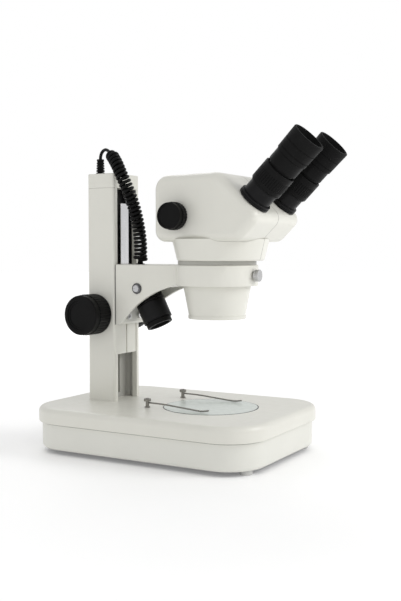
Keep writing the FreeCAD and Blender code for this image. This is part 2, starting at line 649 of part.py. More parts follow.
def head_block(inset):
    """Outer form of the head before its outline is rounded, or its hollow when inset is the wall."""
    low = HEAD_BOTTOM + inset
    top = HEAD_TOP - inset
    back = HEAD_BACK - inset
    face = FACE_SUM - inset * math.sqrt(2)
    tip_y = HEAD_TIP_Y + inset * math.sqrt(2)
    tip_z = face + tip_y
    side_corners = [(V(-80, back, low), 12.0 - inset), (V(-80, back, top), 16.0 - inset),
                    (V(-80, top - face, top), 20.0 - inset), (V(-80, tip_y, tip_z), 10.5 - inset),
                    (V(-80, tip_y + tip_z - low, low), 14.0 - inset)]
    side = Part.Face(rounded_outline(side_corners)).extrude(V(160, 0, 0))
    rear = HEAD_REAR_HALF - inset
    front = HEAD_FRONT_HALF - inset
    plan_corners = [(V(-rear, 80, 100), 1.0), (V(-rear, 0, 100), 90.0), (V(-front, -60, 100), 90.0),
                    (V(-front, -140, 100), 1.0), (V(front, -140, 100), 1.0), (V(front, -60, 100), 90.0),
                    (V(rear, 0, 100), 90.0), (V(rear, 80, 100), 1.0)]
    plan = Part.Face(rounded_outline(plan_corners)).extrude(V(0, 0, 300))
    return side.common(plan)


def head_form(inset):
    """Head block with its side outlines rounded; the hollow is the same form, one wall smaller."""
    form = head_block(inset)
    return form.makeFillet(HEAD_ROUND - inset, sharp_edges(form))


def on_eye(shape, side):
    """Place a shape, modelled up +Z with Z = 0 at the sloped face, on one eyepiece axis."""
    placed = shape.copy()
    placed.rotate(V(0, 0, 0), X_AXIS, 45.0)
    placed.translate(V(side * EYE_HALF, FACE_POINT.y, FACE_POINT.z))
    return placed


def eye_slot():
    slot = box(-SWING, SWING, -NECK_R - 0.5, NECK_R + 0.65, -30, 10)
    ends = [rod(NECK_R + 0.5, V(x, 0.15, -30), Z_AXIS, 40) for x in (-SWING, SWING)]
    return join(slot, *ends)


def head_shells():
    """Left and right half shells, each with the fixed pin that its eye tube swings about."""
    shell = head_form(0).cut(head_form(SHELL))
    cuts = [on_eye(eye_slot(), side) for side in SIDES]
    cuts.append(rod(36.2, V(0, OPTICAL_Y, HEAD_BOTTOM - 5), Z_AXIS, 20))
    cuts.append(rod(2.5 + RUNNING, V(-80, ZOOM_Y, ZOOM_Z), X_AXIS, 160))
    shell = shell.cut(cuts)
    pins = [on_eye(rod(3.0, V(0, EYE_SWING_R, -16), Z_AXIS, 14.5), side) for side in SIDES]
    left = join(shell.common(box(-90, -SPLIT_GAP, -200, 100, 100, 400)), pins[0])
    right = join(shell.common(box(SPLIT_GAP, 90, -200, 100, 100, 400)), pins[1])
    return left, right


def head_collar():
    """Flared collar that runs up round the head's lower edge and carries it on a flat seat."""
    collar = cone(48.6, 54.4, V(0, COLLAR_Y, COLLAR_BOTTOM), Z_AXIS, COLLAR_TOP - COLLAR_BOTTOM)
    collar = fillet_where(collar, 3.0, at_height(COLLAR_BOTTOM)).cut(head_form(-0.15))
    seat = rod(46.0, V(0, OPTICAL_Y, COLLAR_BOTTOM + 5), Z_AXIS, HEAD_BOTTOM - COLLAR_BOTTOM - 5)
    return join(collar, seat).cut(rod(MOUNT_R, V(0, OPTICAL_Y, 200), Z_AXIS, 50))


def nose_barrel():
    barrel = rod(MOUNT_R - RUNNING, V(0, OPTICAL_Y, RING_BOTTOM - 1.0), Z_AXIS, 30)
    flange = rod(44.0, V(0, OPTICAL_Y, ARM_TOP + 0.1), Z_AXIS, COLLAR_BOTTOM - ARM_TOP - 0.1)
    neck = rod(36.0, V(0, OPTICAL_Y, 210), Z_AXIS, BARREL_TOP - 210)
    upper = rod(MOUNT_R, V(0, OPTICAL_Y, 216.5), Z_AXIS, HEAD_BOTTOM - 216.5)
    floor = BARREL_TOP - 3
    whole = join(barrel, flange, neck, upper)
    cuts = [rod(33.5, V(0, OPTICAL_Y, RING_BOTTOM - 5), Z_AXIS, floor - RING_BOTTOM + 5),
            box(-24, 24, OPTICAL_Y - 12, OPTICAL_Y + 12, floor - 1, BARREL_TOP + 1)]
    return whole.cut(cuts)


def nose_cone():
    outer = cone(31.8, MOUNT_R - 0.2, V(0, OPTICAL_Y, CONE_BOTTOM), Z_AXIS, CONE_TOP - CONE_BOTTOM)
    lip = rod(32.4, V(0, OPTICAL_Y, LIP_BOTTOM), Z_AXIS, CONE_BOTTOM - LIP_BOTTOM + 0.01)
    lip = fillet_where(lip, 0.8, at_height(LIP_BOTTOM))
    thread = rod(33.5, V(0, OPTICAL_Y, CONE_TOP - 1), Z_AXIS, 8)
    inner = cone(28.8, 33.0, V(0, OPTICAL_Y, CONE_BOTTOM + 5), Z_AXIS, CONE_TOP - CONE_BOTTOM)
    bore = rod(30.0, V(0, OPTICAL_Y, CONE_TOP - 4), Z_AXIS, 20)
    mouth = rod(28.5, V(0, OPTICAL_Y, LIP_BOTTOM - 1), Z_AXIS, 4.8)
    body = join(outer, lip, thread)
    cells = [rod(LENS_R, V(side * LENS_X, OPTICAL_Y, LIP_BOTTOM), Z_AXIS, 12) for side in SIDES]
    return body.cut([inner, bore, mouth] + cells)


def objective_lenses():
    disc = rod(LENS_R, V(LENS_X, OPTICAL_Y, CONE_BOTTOM + 0.3), Z_AXIS, 4.4)
    lower = Part.makeSphere(30.0, V(LENS_X, OPTICAL_Y, CONE_BOTTOM + 30.3))
    return both_sides(disc.common(lower))


def optics_frame():
    """Bridge in the head that holds the two guide rods and sits on the nose barrel."""
    foot = box(-33, 33, OPTICAL_Y - 6, OPTICAL_Y + 6, BARREL_TOP, BARREL_TOP + 3)
    foot = foot.cut(box(-22, 22, OPTICAL_Y - 8, OPTICAL_Y + 8, BARREL_TOP - 1, BARREL_TOP + 5))
    top = box(-33, 33, OPTICAL_Y - 6, OPTICAL_Y + 6, 299, 302)
    posts = [box(side * 33.0 - 1.5, side * 33.0 + 1.5, OPTICAL_Y - 6, OPTICAL_Y + 6, BARREL_TOP, 302)
             for side in SIDES]
    rods = [rod(2.0, V(x, y, BARREL_TOP), Z_AXIS, 58) for x, y in ROD_SPOTS]
    frame = join(top, posts[0], posts[1], rods[0], rods[1], *foot.Solids)
    windows = [rod(8, V(side * LENS_X, OPTICAL_Y, 298), Z_AXIS, 6) for side in SIDES]
    return frame.cut(windows)


def carriage(z, rack_side):
    """Lens carriage on the guide rods, with the rack that the zoom pinion drives."""
    plate = box(-31, 31, OPTICAL_Y - 5, OPTICAL_Y + 5, z, z + 3)
    guides = [rod(3.3, V(x, y, z), Z_AXIS, 6) for x, y in ROD_SPOTS]
    cells = [rod(9.5, V(side * LENS_X, OPTICAL_Y, z), Z_AXIS, 5) for side in SIDES]
    pitch_y = ZOOM_Y - rack_side * ZOOM_PITCH_R
    x0 = -2.5
    x1 = 2.5
    back_y = pitch_y - rack_side * 3.0
    rack_low = ZOOM_Z - 14
    rack_high = ZOOM_Z + 14
    rack = rack_teeth(ZOOM_MODULE, rack_low, rack_high, ZOOM_Z, pitch_y, rack_side, x0, x1, back_y)
    near = min(back_y, pitch_y - rack_side * 0.7)
    far = max(back_y, pitch_y - rack_side * 0.7)
    low = min(z, rack_low)
    high = max(z + 3, rack_high)
    spine = box(x0, x1, near, far, low, high)
    link_x = 0.0 if rack_side > 0 else LINK_OFFSET
    link = box(link_x + x0, link_x + x1, OPTICAL_Y + 4, far, z, z + 3)
    bridge = box(x0, link_x + x1, near, far, z, z + 3)
    body = join(plate, rack, spine, link, bridge, *guides, *cells)
    bores = [rod(7.5, V(side * LENS_X, OPTICAL_Y, z - 3), Z_AXIS, 9) for side in SIDES]
    bores += [rod(2.0 + RUNNING, V(x, y, z - 5), Z_AXIS, 13) for x, y in ROD_SPOTS]
    body = body.cut(bores)
    lenses = [rod(7.5, V(side * LENS_X, OPTICAL_Y, z), Z_AXIS, 3) for side in SIDES]
    return group([body] + lenses)


def upper_carriage():
    return carriage(UPPER_Z, 1)


def lower_carriage():
    return carriage(LOWER_Z, -1)


def zoom_shaft():
    shaft = rod(2.5, V(-60, ZOOM_Y, ZOOM_Z), X_AXIS, 120)
    gear = gear_blank(ZOOM_MODULE, ZOOM_TEETH, 6.0, 1.0)
    gear.rotate(V(0, 0, 0), X_AXIS, 90.0)
    gear.translate(V(-3.0, ZOOM_Y, ZOOM_Z))
    return join(shaft, gear)


def zoom_knobs():
    start = V(ZOOM_KNOB_IN, ZOOM_Y, ZOOM_Z)
    drum = fluted(ZOOM_KNOB_R, start, ZOOM_DRUM, 30, 0.5)
    cap = rod(ZOOM_KNOB_R - 0.8, start + V(ZOOM_DRUM - 0.5, 0, 0), X_AXIS, ZOOM_KNOB_LONG - ZOOM_DRUM + 0.5)
    end_x = ZOOM_KNOB_IN + ZOOM_KNOB_LONG
    cap = cap.makeFillet(1.2, [edge for edge in cap.Edges if edge.BoundBox.XMin > end_x - 0.1])
    knob = join(drum, cap)
    dish = rod(ZOOM_KNOB_R - 3, start + V(ZOOM_KNOB_LONG - 0.8, 0, 0), X_AXIS, 5)
    bore = rod(2.5, start - V(1, 0, 0), X_AXIS, 61 - ZOOM_KNOB_IN)
    return both_sides(knob.cut([dish, bore]))


# ---------------------------------------------------------------- eye tubes and eyepieces
def eyetube(side):
    """Eye tube with its collar, and the prism housing that swings with it behind the face."""
    collar = rod(TUBE_COLLAR_R, V(0, 0, 0.4), Z_AXIS, TUBE_COLLAR_TOP - 0.4)
    collar = fillet_where(collar, 0.8, at_height(TUBE_COLLAR_TOP))
    collar = collar.cut(pipe(TUBE_COLLAR_R + 2, TUBE_COLLAR_R - 0.9, V(0, 0, 2.6), Z_AXIS, 0.7))
    tube = rod(TUBE_R, V(0, 0, TUBE_COLLAR_TOP - 0.5), Z_AXIS, TUBE_TOP - TUBE_COLLAR_TOP + 0.5)
    stop = rod(TUBE_R + 0.9, V(0, 0, RING_LOW - 1.2), Z_AXIS, 0.8)
    neck = rod(NECK_R, V(0, 0, -9.0), Z_AXIS, 10.0)
    arm = box(-6, 6, 0, EYE_SWING_R, -13, -8)
    boss = rod(6, V(0, EYE_SWING_R, -13), Z_AXIS, 5)
    mount = box(-9.5, 9.5, -11, 11, -13, -8)
    housing = box(-9.5, 9.5, -11, 11, -32, -12.5).cut(box(-8, 8, -9, 13, -30.5, -12))
    body = join(collar, tube, stop, neck, arm, boss, mount, housing)
    cuts = [rod(SLEEVE_R + RUNNING, V(0, 0, 8.0), Z_AXIS, 60), rod(7.0, V(0, 0, -20), Z_AXIS, 60),
            rod(3.0 + RUNNING, V(0, EYE_SWING_R, -20), Z_AXIS, 20)]
    prism = box(-7.9, 7.9, -8.9, 8.0, -30.4, -13.1)
    return on_eye(group([body.cut(cuts), prism]), side)


def rounded_rod(radius, z0, z1, rounding):
    solid = rod(radius, V(0, 0, z0), Z_AXIS, z1 - z0)
    return solid.makeFillet(rounding, sharp_edges(solid))


def dioptre_ring(side):
    ring = rounded_rod(RING_OUTER_R, RING_LOW, RING_HIGH, 0.8)
    knurls = []
    for index in range(40):
        angle = 2 * math.pi * index / 40
        reach = RING_OUTER_R + 0.1
        spot = V(reach * math.cos(angle), reach * math.sin(angle), RING_LOW + 5.2)
        knurls.append(rod(0.6, spot, Z_AXIS, 12.0))
    bore = rod(TUBE_R + RUNNING, V(0, 0, RING_LOW - 5), Z_AXIS, RING_HIGH - RING_LOW + 10)
    return on_eye(ring.cut(knurls + [bore]), side)


def eyepiece(side):
    sleeve = rod(SLEEVE_R, V(0, 0, 12.0), Z_AXIS, OCULAR_LOW - 11.0)
    barrel = rounded_rod(OCULAR_R, OCULAR_LOW, OCULAR_HIGH, 0.8)
    top = rod(OCULAR_TOP_R, V(0, 0, OCULAR_HIGH - 1), Z_AXIS, OCULAR_TOP - OCULAR_HIGH + 1)
    body = join(sleeve, barrel, top).cut(rod(OCULAR_BORE_R, V(0, 0, 10.0), Z_AXIS, 80.0))
    dome = Part.makeSphere(26.0, V(0, 0, OCULAR_TOP - 27.0))
    eye_lens = rod(OCULAR_BORE_R, V(0, 0, OCULAR_TOP - 7.0), Z_AXIS, 6.0).common(dome)
    field_lens = rod(OCULAR_BORE_R, V(0, 0, 14.0), Z_AXIS, 4.0)
    return on_eye(group([body, eye_lens, field_lens]), side)


def eyecup(side):
    low = OCULAR_HIGH + 0.05
    cup = cone(EYECUP_R, EYECUP_RIM_R, V(0, 0, low), Z_AXIS, EYECUP_TOP - low)
    cup = fillet_where(cup, 1.2, lambda edge: edge.BoundBox.ZMin > EYECUP_TOP - 0.05)
    grooves = [pipe(EYECUP_R + 5, EYECUP_R - depth, V(0, 0, z), Z_AXIS, 1.0)
               for z, depth in ((65.3, 0.4), (75.0, 0.15))]
    mouth = cone(OCULAR_TOP_R, EYECUP_MOUTH_R, V(0, 0, OCULAR_TOP + 1), Z_AXIS, EYECUP_TOP - OCULAR_TOP - 0.9)
    return on_eye(cup.cut(grooves + [mouth, rod(OCULAR_TOP_R, V(0, 0, 50), Z_AXIS, 40)]), side)


# ---------------------------------------------------------------- stage clips
def stage_clip(side):
    x = side * CLIP_X
    post = rod(2.0, V(x, CLIP_Y, TOP_Z - 8.5), Z_AXIS, 19.0)
    head = rod(4.0, V(x, CLIP_Y, TOP_Z + 7.0), Z_AXIS, 3.0)
    head = fillet_where(head, 0.5, at_height(TOP_Z + 10.0))
    washer = rod(3.2, V(x, CLIP_Y, TOP_Z + 0.1), Z_AXIS, 1.0)
    heights = [(0.0, 5.4), (22.0, 5.2), (48.0, 3.0), (70.0, 1.4), (79.0, 2.9)]
    route = [V(x, CLIP_Y - reach, TOP_Z + height) for reach, height in heights]
    return join(post, head, washer, bent_tube(route, CLIP_WIRE_R)[0])


# ---------------------------------------------------------------- lamp cord
def bent_tube(route, radius):
    """Tube along straight runs joined by tangent arcs as large as the runs allow; also its path and radii."""
    edges = []
    reached = route[0]
    radii = []
    for before, corner, after in zip(route, route[1:], route[2:]):
        into = (corner - before).normalize()
        out = (after - corner).normalize()
        turn = into.getAngle(out)
        shorter = min((corner - before).Length, (after - corner).Length)
        trim = 0.45 * shorter
        bend = trim / math.tan(turn / 2)
        radii.append(bend)
        start = corner - into * trim
        end = corner + out * trim
        inward = (out - into).normalize()
        middle = corner + inward * (bend / math.cos(turn / 2) - bend)
        edges.append(Part.makeLine(reached, start))
        edges.append(Part.Arc(start, middle, end).toShape())
        reached = end
    edges.append(Part.makeLine(reached, route[-1]))
    path = Part.Wire(edges)
    direction = route[1] - route[0]
    section = Part.Wire(Part.makeCircle(radius, route[0], direction))
    tube = path.makePipeShell([section], True, True)
    return tube, path, radii


def cord_tube(route, radius):
    tube, path, radii = bent_tube(route, radius)
    ideal = math.pi * radius * radius * path.Length
    print("cord radii", [round(r, 1) for r in radii], "length", round(path.Length, 1),
          "volume over ideal", round(tube.Volume / ideal, 4))
    return tube


def lamp_cord_plain():
    return cord_tube(PLAIN_ROUTE, CORD_R)


def lamp_cord_coil():
    return cord_tube(COIL_ROUTE, COIL_R)


def cord_gland_top():
    outer = cone(5.2, 4.2, V(GLAND_X, GLAND_Y, CAP_TOP), Z_AXIS, GLAND_TOP - CAP_TOP)
    grooves = [pipe(7, 3.6, V(GLAND_X, GLAND_Y, CAP_TOP + 3.0 * index - 0.6), Z_AXIS, 1.2)
               for index in range(1, 6)]
    tail = rod(3.4, V(GLAND_X, GLAND_Y, COLUMN_TOP - 6), Z_AXIS, CAP_TOP - COLUMN_TOP + 7)
    return join(outer.cut(grooves), tail)


def cord_grommet():
    neck = cone(3.4, 2.8, V(GROMMET_X, GROMMET_Y, ARM_TOP), Z_AXIS, 4.4)
    flange = rod(5.0, V(GROMMET_X, GROMMET_Y, ARM_TOP), Z_AXIS, 1.0)
    tail = rod(3.5, V(GROMMET_X, GROMMET_Y, ARM_TOP - 9), Z_AXIS, 9.5)
    return join(neck, flange, tail)


def column_lead():
    return rod(1.5, V(GLAND_X, LEAD_Y, 20.0), Z_AXIS, COLUMN_TOP - 6 - 20.0)


def write(name, shape):
    solids = shape.Solids
    for solid in solids:
        if not solid.isValid() or solid.Volume <= 0:
            print("bad solid in", name)
    shape.exportStep(os.path.join("parts", name + ".step"))
    print(f"{name:24s} solids {len(solids):2d} volume {shape.Volume / 1000:9.3f} cm3")


def main():
    left_shell, right_shell = head_shells()
    nodes = {
        "base_cover": base_cover(),
        "base_tray": base_tray(),
        "bottom_plate": bottom_plate(),
        "rubber_feet": rubber_feet(),
        "base_screws": base_screws(),
        "stage_glass": stage_glass(),
        "diffuser_plate": diffuser_plate(),
        "stage_lamp_cup": stage_lamp_cup(),
        "stage_led_board": stage_led_board(),
        "power_board": power_board(),
        "power_inlet": power_inlet(),
        "switch_frames": switch_frames(),
        "rocker_stage_lamp": rocker(SWITCH_X[0]),
        "rocker_arm_lamp": rocker(SWITCH_X[1]),
        "dimmer_pot": dimmer_pot(),
        "dimmer_wheel": dimmer_wheel(),
        "column_profile": column_profile(),
        "column_cap": column_cap(),
        "column_bolts": column_bolts(),
        "column_lead": column_lead(),
        "focus_bushes": focus_bushes(),
        "focus_shaft": focus_shaft(),
        "focus_pinion": focus_pinion(),
        "focus_knobs": focus_knobs(),
        "slider_block": slider_block(),
        "slide_bar": slide_bar(),
        "focus_rack": focus_rack(),
        "arm_casting": arm_casting(),
        "arm_bolts": arm_bolts(),
        "lock_screw": lock_screw(),
        "lamp_pivot_screws": lamp_pivot_screws(),
        "cord_gland_top": cord_gland_top(),
        "cord_grommet": cord_grommet(),
        "lamp_cord_plain": lamp_cord_plain(),
        "lamp_cord_coil": lamp_cord_coil(),
        "lamp_barrel": lamp_barrel(),
        "lamp_front_ring": lamp_front_ring(),
        "lamp_lens": lamp_lens(),
        "lamp_led_board": lamp_led_board(),
        "head_shell_left": left_shell,
        "head_shell_right": right_shell,
        "head_collar": head_collar(),
        "nose_barrel": nose_barrel(),
        "nose_cone": nose_cone(),
        "objective_lenses": objective_lenses(),
        "optics_frame": optics_frame(),
        "upper_lens_carriage": upper_carriage(),
        "lower_lens_carriage": lower_carriage(),
        "zoom_shaft": zoom_shaft(),
        "zoom_knobs": zoom_knobs(),
    }
    for side, word in ((-1, "left"), (1, "right")):
        nodes["eyetube_" + word] = eyetube(side)
        nodes["dioptre_ring_" + word] = dioptre_ring(side)
        nodes["eyepiece_" + word] = eyepiece(side)
        nodes["eyecup_" + word] = eyecup(side)
        nodes["stage_clip_" + word] = stage_clip(side)
    for name, shape in nodes.items():
        write(name, shape)


main()
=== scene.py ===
import math

import bmesh
import bpy
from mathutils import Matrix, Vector


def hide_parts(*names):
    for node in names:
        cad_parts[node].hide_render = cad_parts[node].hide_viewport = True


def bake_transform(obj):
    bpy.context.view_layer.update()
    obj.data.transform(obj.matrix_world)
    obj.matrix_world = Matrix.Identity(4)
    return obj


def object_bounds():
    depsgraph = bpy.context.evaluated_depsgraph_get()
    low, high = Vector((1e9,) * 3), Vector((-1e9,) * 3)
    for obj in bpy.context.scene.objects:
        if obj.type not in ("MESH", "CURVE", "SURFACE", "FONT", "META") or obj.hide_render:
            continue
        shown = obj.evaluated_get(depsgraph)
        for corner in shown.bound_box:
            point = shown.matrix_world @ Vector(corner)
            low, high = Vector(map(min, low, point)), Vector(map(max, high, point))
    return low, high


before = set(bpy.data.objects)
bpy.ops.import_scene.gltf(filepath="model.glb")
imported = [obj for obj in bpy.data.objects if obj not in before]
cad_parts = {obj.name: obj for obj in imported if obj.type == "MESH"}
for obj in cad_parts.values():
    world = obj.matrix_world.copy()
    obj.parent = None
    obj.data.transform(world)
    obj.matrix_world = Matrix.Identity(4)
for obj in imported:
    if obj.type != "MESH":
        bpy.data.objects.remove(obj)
cad_low, cad_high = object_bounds()

MM = 0.001

# ---------------------------------------------------------------- camera, light and floor

CAMERA_PLACE = (-0.8915, -0.5143, 0.2273)
CAMERA_AZIMUTH = 60.29      # degrees to the right of +Y
CAMERA_PITCH = 3.087        # degrees below the horizon
CAMERA_LENS = 54.4

FLOOR_RADIUS = 9.0
FLOOR_GREY = 0.92
FLOOR_GLOW = 0.15           # beside the stand
FLOOR_GLOW_FAR = 0.36       # where the floor runs into the backdrop
FLOOR_FADE = (0.35, 1.6)    # distances (m) between which the one turns into the other
WORLD_LIGHT = 0.74
WORLD_SHOWN = 1.0           # what the camera sees behind the floor

# name, place (m), size (m), power (W)
AREA_LIGHTS = [
    ("key", (0.8, -2.3, 1.5), 1.3, 26.0),
    ("back", (1.3, 1.2, 1.6), 1.2, 5.0),
    ("side", (-2.2, 0.2, 0.9), 1.2, 1.2),
]


def add_camera():
    data = bpy.data.cameras.new("camera")
    data.lens = CAMERA_LENS
    data.clip_start = 0.01
    camera = bpy.data.objects.new("camera", data)
    bpy.context.scene.collection.objects.link(camera)
    camera.location = CAMERA_PLACE
    camera.rotation_euler = (math.radians(90 - CAMERA_PITCH), 0, math.radians(-CAMERA_AZIMUTH))
    bpy.context.scene.camera = camera


def add_lights():
    middle = (cad_low + cad_high) / 2
    for name, place, size, power in AREA_LIGHTS:
        data = bpy.data.lights.new(name, "AREA")
        data.shape = "DISK"
        data.size = size
        data.energy = power
        light = bpy.data.objects.new(name, data)
        bpy.context.scene.collection.objects.link(light)
        light.location = place
        light.rotation_mode = "QUATERNION"
        light.rotation_quaternion = (middle - Vector(place)).to_track_quat("-Z", "Y")
    world = bpy.data.worlds.new("world")
    world.use_nodes = True
    tree = world.node_tree
    seen = tree.nodes.new("ShaderNodeLightPath").outputs["Is Camera Ray"]
    strength = tree.nodes.new("ShaderNodeMapRange")
    strength.inputs["To Min"].default_value = WORLD_LIGHT
    strength.inputs["To Max"].default_value = WORLD_SHOWN
    tree.links.new(seen, strength.inputs["Value"])
    background = tree.nodes["Background"]
    background.inputs["Color"].default_value = (1.0, 1.0, 1.0, 1)
    tree.links.new(strength.outputs["Result"], background.inputs["Strength"])
    bpy.context.scene.world = world
    bpy.context.scene.view_settings.view_transform = "Standard"


add_camera()
add_lights()


def make_object(name, mesh):
    thing = bpy.data.objects.new(name, mesh)
    bpy.context.scene.collection.objects.link(thing)
    return thing


# ---------------------------------------------------------------- curly lamp cord

WIRE = 3.8 * MM
PLAIN_POINTS = [(-10, 125, 336), (-10, 125, 341.5), (-12, 118.5, 347), (-14.8, 111, 346.2), (-18.5, 104, 341)]
COIL_POINTS = [(-18.5, 104, 341), (-24.5, 93, 331.5), (-27, 84, 316.5), (-24.2, 76.5, 298.5),
               (-20, 71, 279.5), (-17, 68, 261.5), (-13.6, 67, 244), (-10.5, 68, 228.5), (-10, 69, 217.4)]
COIL_TURNS = 30
COIL_RADIUS = 5.9 * MM
COIL_STEPS = 26             # points in one turn
ROUTE_STEPS = 24            # points between two of a route's control points
COIL_EASE_IN = 0.9          # turns over which the helix opens
COIL_EASE_OUT = 0.45
FLAT_TURNS = 1.2            # the last loop lies flat on the arm and is wider
FLAT_FROM = 0.975           # share of the route where it starts
FLAT_EXTRA = 0.8 * MM
FLAT_LEAD = 0.4             # turns before the flat loop at which the helix starts to widen
FLAT_WIDEN = 0.5            # turns that the widening takes
WIRE_SIDES = 10


def route_line(points_mm):
    """Closely spaced points along the NURBS spline of a route."""
    curve = bpy.data.curves.new("route", "CURVE")
    curve.dimensions = "3D"
    curve.resolution_u = ROUTE_STEPS
    spline = curve.splines.new("NURBS")
    spline.points.add(len(points_mm) - 1)
    for point, place in zip(spline.points, points_mm):
        point.co = (*[value * MM for value in place], 1)
    spline.order_u = 3
    spline.use_endpoint_u = True
    holder = make_object("route", curve)
    bpy.context.view_layer.update()
    mesh = bpy.data.meshes.new_from_object(holder)
    line = [vertex.co.copy() for vertex in mesh.vertices]
    bpy.data.objects.remove(holder)
    bpy.data.meshes.remove(mesh)
    return line


def along(line):
    """Function that gives the place and direction at a share of the line's length."""
    lengths = [0.0]
    for a, b in zip(line, line[1:]):
        lengths.append(lengths[-1] + (b - a).length)

    def at(share):
        goal = min(max(share, 0.0), 1.0) * lengths[-1]
        index = 0
        while index < len(line) - 2 and lengths[index + 1] < goal:
            index += 1
        part = (goal - lengths[index]) / (lengths[index + 1] - lengths[index])
        return line[index].lerp(line[index + 1], part), (line[index + 1] - line[index]).normalized()

    return at


def carried_frames(directions, first_side):
    """Side vectors carried along a line without twist."""
    side = first_side
    sides = []
    previous = directions[0]
    for direction in directions:
        side = previous.rotation_difference(direction) @ side
        side = (side - side.dot(direction) * direction).normalized()
        sides.append(side.copy())
        previous = direction
    return sides


def tube_mesh(name, line, radius, count):
    """Closed tube with rings of count vertices on the points of a line."""
    directions = []
    for index in range(len(line)):
        ahead = line[min(index + 1, len(line) - 1)]
        behind = line[max(index - 1, 0)]
        directions.append((ahead - behind).normalized())
    sides = carried_frames(directions, directions[0].orthogonal())
    built = bmesh.new()
    rings = []
    for place, direction, side in zip(line, directions, sides):
        other = direction.cross(side)
        ring = []
        for step in range(count):
            angle = math.tau * step / count
            ring.append(built.verts.new(place + radius * (math.cos(angle) * side + math.sin(angle) * other)))
        rings.append(ring)
    for a, b in zip(rings, rings[1:]):
        for step in range(count):
            after = (step + 1) % count
            built.faces.new((a[step], a[after], b[after], b[step]))
    built.faces.new(rings[0][::-1])
    built.faces.new(rings[-1])
    mesh = bpy.data.meshes.new(name)
    built.to_mesh(mesh)
    built.free()
    for face in mesh.polygons:
        face.use_smooth = len(face.vertices) == 4
    return mesh


def ease(share):
    share = min(max(share, 0.0), 1.0)
    return share * share * (3 - 2 * share)


def coil_share(turn):
    """Share of the coil's route reached after so many turns."""
    open_turns = COIL_TURNS - FLAT_TURNS
    if turn < open_turns:
        return FLAT_FROM * turn / open_turns
    return FLAT_FROM + (1 - FLAT_FROM) * (turn - open_turns) / FLAT_TURNS


def coil_radius(turn):
    left = COIL_TURNS - turn
    wide = COIL_RADIUS + FLAT_EXTRA * ease((FLAT_TURNS + FLAT_LEAD - left) / FLAT_WIDEN)
    return wide * ease(turn / COIL_EASE_IN) * ease(left / COIL_EASE_OUT)


def curly_cord():
    at = along(route_line(COIL_POINTS))
    turns = [step / COIL_STEPS for step in range(COIL_TURNS * COIL_STEPS + 1)]
    places, directions = zip(*[at(coil_share(turn)) for turn in turns])
    sides = carried_frames(list(directions), Vector((0, 1, 0)))
    helix = []
    for turn, place, direction, side in zip(turns, places, directions, sides):
        other = direction.cross(side)
        angle = math.tau * turn
        helix.append(place + coil_radius(turn) * (math.cos(angle) * side + math.sin(angle) * other))
    line = route_line(PLAIN_POINTS)[:-1] + helix
    cord = make_object("curly_lamp_cord", tube_mesh("curly_lamp_cord", line, WIRE / 2, WIRE_SIDES))
    length = sum((b - a).length for a, b in zip(line, line[1:]))
    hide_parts("lamp_cord_coil", "lamp_cord_plain")
    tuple(line[0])
    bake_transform(cord)
    return cord


# ---------------------------------------------------------------- materials


